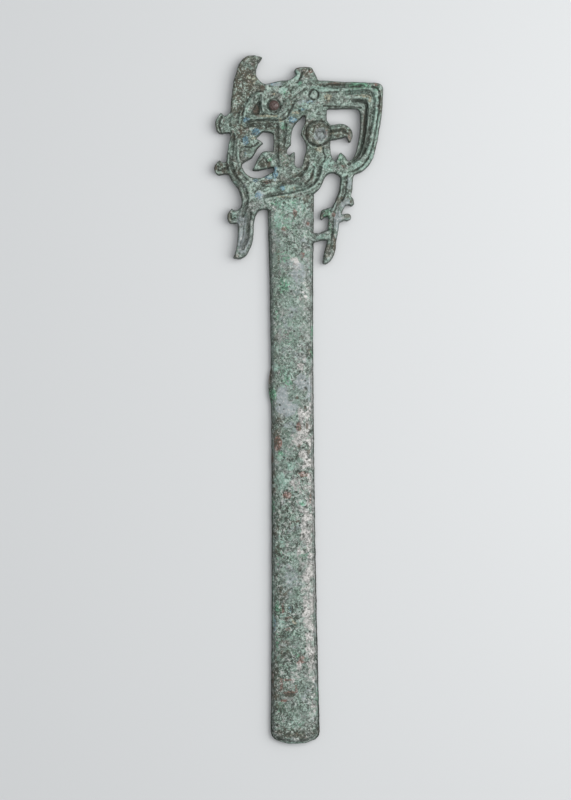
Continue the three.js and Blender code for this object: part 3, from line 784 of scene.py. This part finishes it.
def weathering_tree():
    """Carves the fine relief into the casting's skin, crowns the blade, and wears, pits and encrusts it."""
    tree = bpy.data.node_groups.new("Weathered casting", "GeometryNodeTree")
    add_socket(tree, "Geometry", "NodeSocketGeometry")
    add_socket(tree, "Grooves", "NodeSocketObject")
    add_socket(tree, "Ridges", "NodeSocketObject")
    for size in ("Crown", "Ridge height", "Groove depth", "Pitting", "Crust"):
        add_socket(tree, size, "NodeSocketFloat")
    add_socket(tree, "Finish", "NodeSocketMaterial")
    add_socket(tree, "Geometry", "NodeSocketGeometry", is_output=True)
    graph = Graph(tree)
    given = graph.node("NodeGroupInput")

    place = graph.wire(graph.node("GeometryNodeInputPosition"))
    apart = {0: place, 1: (0.1, 0.1, 0.1)}
    shifted = graph.wire(graph.node("ShaderNodeVectorMath", apart, operation="ADD"))
    parts = graph.node("ShaderNodeSeparateXYZ", {0: place})
    x, y, rise = (graph.wire(parts, axis) for axis in ("X", "Y", "Z"))
    normal = graph.node("ShaderNodeSeparateXYZ", {0: graph.wire(graph.node("GeometryNodeInputNormal"))})
    facing_up = graph.wire(normal, "Z")
    front = graph.smooth(facing_up, 0.1, 0.6)
    wall = graph.smooth(graph.math("ABSOLUTE", facing_up), 0.8, 0.3)

    intact = graph.smooth(graph.noise(place, 8 * MM, 6.0, 0.62), 0.46, 0.5)
    pits = pitted(graph, place, shifted)
    height = fine_relief(graph, given, place, shifted, x, y)
    height = height - pits * graph.wire(given, "Pitting") + intact * FLAKE_THICKNESS
    crust = crusted(graph, shifted) * graph.wire(given, "Crust")
    height = height + crust * (graph.noise(place, 2 * MM) + 0.2)
    for uneven in unevenness(graph, place, shifted):
        height = height + uneven
    outward = ragged_edge(graph, place) * wall
    push = {
        "X": graph.wire(normal, "X") * outward,
        "Y": graph.wire(normal, "Y") * outward,
        "Z": height * front,
    }

    worn = blurred(graph, place, WORN_ROUNDS, "FLOAT_VECTOR")
    skin = moved(graph, graph.wire(given, "Geometry"), position=worn)
    skin = moved(graph, skin, offset=graph.wire(graph.node("ShaderNodeCombineXYZ", push)))

    steep = graph.math("LESS_THAN", graph.math("ABSOLUTE", facing_up), STEEP)
    inputs = {"Geometry": skin, "Selection": steep}
    walls = graph.wire(graph.node("GeometryNodeSeparateGeometry", inputs, domain="FACE"))
    nearest = graph.node("GeometryNodeProximity", {"Geometry": walls}, target_element="FACES")
    proud = (rise - blurred(graph, rise, RELIEF_ROUNDS)) * (1 / MM)
    marks = {
        "to_wall": graph.wire(nearest, "Distance"),
        "proud": proud * front,
        "pits": pits,
        "side": blade_side(graph, x, y),
    }
    skin = with_marks(graph, skin, marks)
    inputs = {"Geometry": skin, "Shade Smooth": True}
    skin = graph.wire(graph.node("GeometryNodeSetShadeSmooth", inputs))
    skin = graph.wire(graph.node("GeometryNodeRealizeInstances", {"Geometry": skin}))
    inputs = {"Geometry": skin, "Material": graph.wire(given, "Finish")}
    skin = graph.wire(graph.node("GeometryNodeSetMaterial", inputs))
    graph.node("NodeGroupOutput", {"Geometry": skin})
    return tree


def applied(piece):
    """Turns the piece and its modifiers into a plain mesh."""
    seen = piece.evaluated_get(bpy.context.evaluated_depsgraph_get())
    mesh = bpy.data.meshes.new_from_object(seen)
    piece.modifiers.clear()
    piece.data = mesh


def merged_copy(node, name):
    """A new object with the node's mesh, its loose triangles joined up."""
    shell = bmesh.new()
    shell.from_mesh(bpy.data.objects[node].data)
    bmesh.ops.remove_doubles(shell, verts=shell.verts, dist=WELD)
    mesh = bpy.data.meshes.new(name)
    shell.to_mesh(mesh)
    shell.free()
    made = bpy.data.objects.new(name, mesh)
    bpy.context.scene.collection.objects.link(made)
    return made


def triangle_count(mesh):
    return sum(len(face.vertices) - 2 for face in mesh.polygons)


def weathered_casting(settings, finish):
    """The casting with its relief, wear and corrosion as mesh."""
    casting = merged_copy("axe_head", "patinated_casting")
    remesh = casting.modifiers.new("Skin", "REMESH")
    remesh.mode = "VOXEL"
    remesh.voxel_size = settings.cell
    applied(casting)
    lay_on(casting.data)

    rings = {name: ring_points(*ring) for name, ring in RINGS.items()}
    grooves = line_object("fine_grooves", FINE_GROOVES | rings)
    ridges = line_object("fine_ridges", FINE_RIDGES)
    weather = casting.modifiers.new("Weather", "NODES")
    weather.node_group = weathering_tree()
    values = {
        "Grooves": grooves,
        "Ridges": ridges,
        "Crown": settings.crown,
        "Ridge height": settings.ridge,
        "Groove depth": settings.groove,
        "Pitting": settings.pitting,
        "Crust": settings.crust,
        "Finish": finish,
    }
    for socket, value in values.items():
        set_input(weather, socket, value)
    applied(casting)

    thin = casting.modifiers.new("Thin", "DECIMATE")
    thin.ratio = min(1.0, settings.triangles / triangle_count(casting.data))
    thin.use_collapse_triangulate = True
    applied(casting)
    for helper in (grooves, ridges):
        bpy.data.objects.remove(helper)
    return casting


# ---- The patina

# Grains in the patina, each as (size in millimetres, detail, roughness, distortion).
GRAINS = {
    "broad": (14.0, 3.0, 0.6, 0.0),
    "drift": (6.5, 4.0, 0.62, 0.8),
    "flakes": (5.0, 6.0, 0.68, 0.3),
    "hue": (4.6, 5.0, 0.7, 0.5),
    "mottle": (3.2, 5.0, 0.68, 0.8),
    "worms": (2.4, 2.0, 0.5, 1.2),
    "speckle": (1.6, 4.0, 0.72, 0.6),
    "fleck": (1.0, 2.0, 0.6, 0.6),
}

# How the patches of a layer break up, as (size of the breaks in millimetres, raggedness).
PATCHES = {
    "rough": (2.0, 1.0),
    "dun": (1.8, 1.2),
    "mist": (2.2, 0.7),
    "teal": (2.0, 1.0),
    "silver": (3.0, 1.1),
    "clay": (1.2, 1.0),
    "cuprite": (1.1, 0.8),
    "malachite": (1.1, 1.2),
    "azurite": (1.0, 1.0),
    "soot": (1.0, 0.9),
}

SPECK_SIZE = 1.6 * MM
# Width of the painted shade along the outline.
EDGE_SHADE_WIDTH = 0.75 * MM
BEVEL_WIDTH = 1.9 * MM
# Width of the thin line of painted shade at the chamfers' inner edge.
BEVEL_LINE = 0.4 * MM
BUMP_DEPTH = 0.3 * MM


def patch_group():
    """Breaks a soft patch up into a ragged one with grain inside."""
    tree = bpy.data.node_groups.new("Ragged patch", "ShaderNodeTree")
    add_socket(tree, "Patch", "NodeSocketFloat")
    add_socket(tree, "Vector", "NodeSocketVector")
    add_socket(tree, "Grain", "NodeSocketFloat")
    add_socket(tree, "Raggedness", "NodeSocketFloat")
    add_socket(tree, "Mask", "NodeSocketFloat", is_output=True)
    graph = Graph(tree)
    given = graph.node("NodeGroupInput")
    inputs = {
        "Vector": graph.wire(given, "Vector"),
        "Scale": graph.wire(given, "Grain"),
        "Detail": 4.0,
        "Roughness": 0.65,
    }
    grain = graph.wire(graph.node("ShaderNodeTexNoise", inputs))
    spread = (grain - 0.5) * graph.wire(given, "Raggedness") * 2.0
    mask = graph.smooth(graph.wire(given, "Patch") + spread, 0.34, 0.6)
    graph.node("NodeGroupOutput", {"Mask": mask})
    return tree


def attribute(graph, name):
    return graph.wire(graph.node("ShaderNodeAttribute", attribute_name=name), "Fac")


def patches(graph, place):
    """Where each layer shows, from 0 to 1."""
    ragged = patch_group()
    shown = SimpleNamespace()
    for name, (size, raggedness) in PATCHES.items():
        made = graph.tree.nodes.new("ShaderNodeGroup")
        made.node_tree = ragged
        inputs = {
            "Patch": attribute(graph, name),
            "Vector": place,
            "Grain": 1 / (size * MM),
            "Raggedness": raggedness,
        }
        for key, value in inputs.items():
            graph.feed(made.inputs[key], value)
        setattr(shown, name, graph.wire(made))
    return shown


def grains(graph, place):
    """The grains of the patina, each from 0 to 1."""
    return SimpleNamespace(
        **{name: graph.noise(place, size * MM, *rest) for name, (size, *rest) in GRAINS.items()}
    )


def zones(graph, place, grain):
    """Where the parts of the casting are, from 0 to 1, and how busy the speckle on them is."""
    along = graph.wire(graph.node("ShaderNodeSeparateXYZ", {0: place}), "Y")
    head = graph.smooth(along, SHOULDER - 1 * MM, SHOULDER + 4 * MM)
    foot = graph.smooth(along, 20 * MM, -30 * MM)
    proud = attribute(graph, "proud")
    wall_gap = attribute(graph, "to_wall")
    side = attribute(graph, "side")
    crest = graph.smooth(proud, 0.04, 0.22)
    rough_ground = graph.highest(graph.smooth(grain.broad, 0.42, 0.56), head)
    return SimpleNamespace(
        head=head,
        # The blade's left half, which gets painted shade.
        left=graph.smooth(side, 0.0, -0.9),
        # The blade's right half, which gets a painted sheen.
        right=graph.smooth(side, 0.1, 0.8),
        bead=graph.smooth(attribute(graph, "bead"), 0.5, 0.62),
        # The grooves and hollows, which are darkened: dark corrosion there, and partly painted shade.
        recess=graph.smooth(proud, -0.03, -0.2),
        # The head's crests, which are paler: verdigris there, and partly a painted highlight.
        ridge=crest * head * graph.smooth(grain.mottle, 0.38, 0.52),
        # Painted shade along the outline, where the rounded side walls turn away from the light.
        rim=graph.smooth(wall_gap, EDGE_SHADE_WIDTH, 0.1 * MM),
        # The chamfers along the blade's edges, which get painted shade.
        bevel=graph.smooth(wall_gap, BEVEL_WIDTH, 1.5 * MM) * (1.0 - head),
        # A thin line of painted shade in the crease between each chamfer and the blade's front.
        bevel_line=graph.band(wall_gap, BEVEL_WIDTH, BEVEL_LINE) * (1.0 - head),
        busy=0.35 + 0.65 * rough_ground + 0.3 * foot,
    )


def tint(colour, strength=1.0):
    return (*(strength * part for part in colour), 1.0)


def coated(graph, colour, coats):
    """The colour under more coats, each given as (its colour, how strong that is, how much of it shows)."""
    for tone, strength, share in coats:
        colour = graph.mix(colour, tint(tone, strength), share)
    return colour


def skin_coats(graph, settings, grain, patch, zone):
    """The patina itself, from the lowest coat up, with painted shade on the blade's left half and chamfers
    and a painted sheen on its right half.
    """
    worn_thin = graph.smooth(grain.hue, 0.52, 0.6) * (0.7 - 0.4 * zone.head)
    plates = patch.silver * graph.smooth(grain.flakes, 0.44, 0.5)
    # Painted sheen: silver grey over the blade's right half, as if lit from the right.
    painted_sheen_right = zone.right * graph.smooth(grain.mottle, 0.42, 0.58)
    return [
        (settings.verdigris, 1.0, graph.smooth(grain.drift, 0.52, 0.62) * 0.7),
        (settings.slate, 1.25, graph.smooth(grain.drift, 0.47, 0.38) * 0.8),
        (settings.lichen, 1.0, graph.smooth(grain.hue, 0.47, 0.4) * 0.6),
        (settings.silver, 1.05, plates),
        (settings.silver, 0.9, painted_sheen_right * 0.5),
        (settings.dove, 1.0, worn_thin),
        # Painted shade: the blade's left half darker, as if turned away from the light at the right.
        (settings.olive, 1.5, zone.left * 0.36),
        # Painted shade: the chamfers a little darker, as they face sideways away from the light.
        (settings.slate, 0.9, zone.bevel * 0.3),
        (settings.green, 0.5, graph.smooth(grain.flakes, 0.5, 0.42) * 0.4),
        (settings.umber, 1.0, zone.head * graph.smooth(grain.drift, 0.48, 0.38) * 0.5),
        (settings.olive, 2.0, zone.head * 0.06),
        (settings.teal, 1.06, patch.teal * (0.75 + 0.15 * zone.head)),
        (settings.dun, 1.0, patch.dun * 0.8),
        (settings.mist, 1.0, patch.mist * 0.85),
        # Pale verdigris on the crests, partly a painted highlight.
        (settings.verdigris, 1.0, zone.ridge * 0.55),
    ]


def crust_coats(settings, patch):
    """Earth and corrosion products on the patina."""
    return [
        (settings.clay, 1.0, patch.clay * 0.7),
        (settings.cuprite, 1.0, patch.cuprite * 0.85),
        (settings.malachite, 1.0, patch.malachite * 0.65),
        (settings.azurite, 1.0, patch.azurite * 0.85),
    ]


def speckle_coats(graph, settings, grain, patch, zone, calm):
    """Dark and pale specks, fewer where the skin is calm."""
    coarse = grain.mottle * 0.4 + grain.speckle * 0.6
    pale = patch.rough * zone.head * graph.smooth(coarse, 0.52, 0.57)
    bright = graph.smooth(grain.speckle, 0.54, 0.61) * zone.busy
    glint = graph.smooth(grain.fleck, 0.59, 0.66)
    return [
        (settings.umber, 0.7, patch.rough * (graph.smooth(coarse, 0.54, 0.47) * calm) * 0.85),
        (settings.verdigris, 1.0, pale * 0.55),
        (settings.olive, 1.1, graph.smooth(grain.speckle, 0.5, 0.42) * zone.busy * calm * 0.7),
        (settings.silver, 1.15, bright * (0.45 - 0.1 * zone.head)),
        (settings.verdigris, 1.3, bright * zone.head * 0.5),
        (settings.silver, 1.5, glint * (0.42 - 0.1 * zone.head)),
        (settings.olive, 1.0, graph.smooth(grain.fleck, 0.42, 0.34) * calm * 0.7),
    ]


def dark_marks(graph, place, grain, zone, calm):
    """Where the skin is broken: edges of flakes, worm-like cracks, specks and pits."""
    edges = graph.band(grain.flakes, 0.5, 0.022) * graph.smooth(grain.mottle, 0.42, 0.52)
    worms = graph.band(grain.worms, 0.5, 0.045) * graph.smooth(grain.drift, 0.44, 0.54)
    specks = graph.smooth(graph.cells(place, SPECK_SIZE), 0.4, 0.2) * graph.smooth(grain.drift, 0.53, 0.42)
    dark = graph.highest(specks, graph.highest(edges, worms))
    return graph.highest(dark, attribute(graph, "pits") * 0.8) * (0.4 + 0.6 * zone.busy) * calm


def hollow_coats(graph, settings, grain, patch, zone, dark):
    """Dark corrosion in the cracks and the grooves, painted shade in the grooves, the hollows, along the
    openings' rims and on the blade's chamfer lines, and the eye bead over it all.
    """
    # Groove floors darker: dark corrosion in them, and partly painted shade.
    floor = zone.recess * (0.55 + 0.6 * graph.smooth(grain.speckle, 0.62, 0.4))
    # Dark olive in the grooves (dark corrosion, and partly painted shade), along the outline and on the
    # chamfer lines (painted shade).
    hollow = graph.highest(floor, zone.rim * 0.62)
    hollow = graph.highest(hollow, zone.bevel_line * graph.smooth(grain.mottle, 0.44, 0.54) * 0.6)
    return [
        (settings.olive, 1.0, dark * 0.85),
        # Dark umber marks: painted shade in the head's hollows and beside its raised parts, and dark cracks
        # on the blade.
        (settings.umber, 0.6, patch.soot * 0.85),
        (settings.olive, 0.8, graph.clamp(hollow)),
        (settings.bead, 1.0, zone.bead),
    ]


def patina(settings):
    """The finish of the casting: patina, its flaked skin, pits, dark hollows that are partly painted shade,
    painted shade and sheen on the blade, and the corrosion patches.
    """
    material = bpy.data.materials.new("patinated_bronze")
    material.use_nodes = True
    graph = Graph(material.node_tree)
    shader = material.node_tree.nodes["Principled BSDF"]
    place = graph.wire(graph.node("ShaderNodeTexCoord"), "Object")
    grain = grains(graph, place)
    patch = patches(graph, place)
    zone = zones(graph, place, grain)
    calm = (1.0 - zone.ridge * 0.5) * (1.0 - patch.mist * 0.65)
    calm = calm * (1.0 - patch.silver * 0.4) * (1.0 - patch.teal * 0.35)
    dark = dark_marks(graph, place, grain, zone, calm)

    under = graph.smooth(grain.broad, 0.36, 0.62)
    colour = graph.mix(tint(settings.green, 0.9), tint(settings.green, 1.25), under)
    colour = coated(graph, colour, skin_coats(graph, settings, grain, patch, zone))
    colour = coated(graph, colour, crust_coats(settings, patch))
    colour = coated(graph, colour, speckle_coats(graph, settings, grain, patch, zone, calm))
    colour = coated(graph, colour, hollow_coats(graph, settings, grain, patch, zone, dark))
    graph.feed(shader.inputs["Base Color"], colour)

    dullness = 0.62 - patch.silver * 0.22 + graph.highest(dark, patch.rough) * 0.2 - zone.bead * 0.45
    graph.feed(shader.inputs["Roughness"], graph.clamp(dullness))
    graph.feed(shader.inputs["Metallic"], patch.silver * 0.25)
    fine = grain.fleck * 0.5 + grain.speckle * 0.5 - dark * 0.5
    bump = graph.node("ShaderNodeBump", {"Strength": 0.7, "Distance": BUMP_DEPTH, "Height": fine})
    graph.feed(shader.inputs["Normal"], graph.wire(bump))
    return material


# ---- The stage

TABLE_SIZE = 6.0
KEY_PLACE = Vector((0.42, 0.1, 0.55))
KEY_SIZE = 0.6
OVERHEAD_LEAN = (math.radians(-3), math.radians(11), 0)
ROOM_COLOUR = (0.94, 0.97, 1.0)
SENSOR = 36.0
VIEW_DEPTH = 20.0


def table_top(settings):
    material = bpy.data.materials.new("pale_table")
    material.use_nodes = True
    shader = material.node_tree.nodes["Principled BSDF"]
    shader.inputs["Base Color"].default_value = (*settings.table, 1.0)
    shader.inputs["Roughness"].default_value = 0.6
    shader.inputs["Specular IOR Level"].default_value = 0.2
    half = TABLE_SIZE / 2
    corners = [(-half, -half, LOW.z), (half, -half, LOW.z), (half, half, LOW.z), (-half, half, LOW.z)]
    mesh = bpy.data.meshes.new("table")
    mesh.from_pydata(corners, [], [(0, 1, 2, 3)])
    mesh.materials.append(material)
    made = bpy.data.objects.new("table", mesh)
    bpy.context.scene.collection.objects.link(made)


def key_light(watts):
    """A square soft box at the right, aimed at the casting's middle."""
    lamp = bpy.data.lights.new("key", "AREA")
    lamp.shape = "SQUARE"
    lamp.size = KEY_SIZE
    lamp.energy = watts
    made = bpy.data.objects.new("key", lamp)
    made.location = KEY_PLACE
    made.rotation_euler = (-KEY_PLACE).to_track_quat("-Z", "Y").to_euler()
    bpy.context.scene.collection.objects.link(made)


def overhead_light(strength, spread):
    """Even light from a wide circle of sky over the casting, leaning to the right."""
    lamp = bpy.data.lights.new("overhead", "SUN")
    lamp.energy = strength
    lamp.angle = spread
    made = bpy.data.objects.new("overhead", lamp)
    made.rotation_euler = OVERHEAD_LEAN
    bpy.context.scene.collection.objects.link(made)


def room_light(strength):
    world = bpy.data.worlds.new("room")
    world.use_nodes = True
    sky = world.node_tree.nodes["Background"]
    sky.inputs["Color"].default_value = (*ROOM_COLOUR, 1.0)
    sky.inputs["Strength"].default_value = strength
    bpy.context.scene.world = world


def camera_above(settings):
    """A camera that looks straight down on the casting."""
    lens = bpy.data.cameras.new("camera")
    lens.lens = settings.lens
    lens.sensor_width = SENSOR
    lens.clip_end = VIEW_DEPTH
    made = bpy.data.objects.new("camera", lens)
    distance = settings.view_height * settings.lens / SENSOR
    front = 0.5 * (LOW.z + HIGH.z)
    made.location = (settings.view_middle[0], settings.view_middle[1], front + distance)
    bpy.context.scene.collection.objects.link(made)
    bpy.context.scene.camera = made


# ---- Operators


class OBJECT_OT_axe_casting(bpy.types.Operator):
    """Make the weathered casting"""

    bl_idname = "object.axe_casting"
    bl_label = "Make the casting"

    def execute(self, context):
        scene = context.scene
        casting = weathered_casting(scene.axe_casting, patina(scene.axe_patina))
        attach(casting, "root")
        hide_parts("axe_head")
        return {"FINISHED"}


class OBJECT_OT_axe_stage(bpy.types.Operator):
    """Make the table, the lights and the camera"""

    bl_idname = "object.axe_stage"
    bl_label = "Make the stage"

    def execute(self, context):
        settings = context.scene.axe_stage
        table_top(settings)
        key_light(settings.key)
        overhead_light(settings.overhead, settings.spread)
        room_light(settings.ambient)
        camera_above(settings)
        context.scene.view_settings.view_transform = "Standard"
        return {"FINISHED"}


class VIEW3D_PT_axe_head(bpy.types.Panel):
    """Lists the steps that make the axe head."""

    bl_label = "Axe head"
    bl_space_type = "VIEW_3D"
    bl_region_type = "UI"
    bl_category = "Axe head"

    def draw(self, context):
        for step in (OBJECT_OT_axe_casting, OBJECT_OT_axe_stage):
            self.layout.operator(step.bl_idname)


CLASSES = (
    CastingSettings,
    PatinaSettings,
    StageSettings,
    OBJECT_OT_axe_casting,
    OBJECT_OT_axe_stage,
    VIEW3D_PT_axe_head,
)


def register():
    for made in CLASSES:
        bpy.utils.register_class(made)
    bpy.types.Scene.axe_casting = PointerProperty(type=CastingSettings)
    bpy.types.Scene.axe_patina = PointerProperty(type=PatinaSettings)
    bpy.types.Scene.axe_stage = PointerProperty(type=StageSettings)


def unregister():
    del bpy.types.Scene.axe_stage
    del bpy.types.Scene.axe_patina
    del bpy.types.Scene.axe_casting
    for made in reversed(CLASSES):
        bpy.utils.unregister_class(made)


def main():
    register()
    bpy.ops.object.axe_casting()
    bpy.ops.object.axe_stage()


if __name__ == "__main__":
    main()
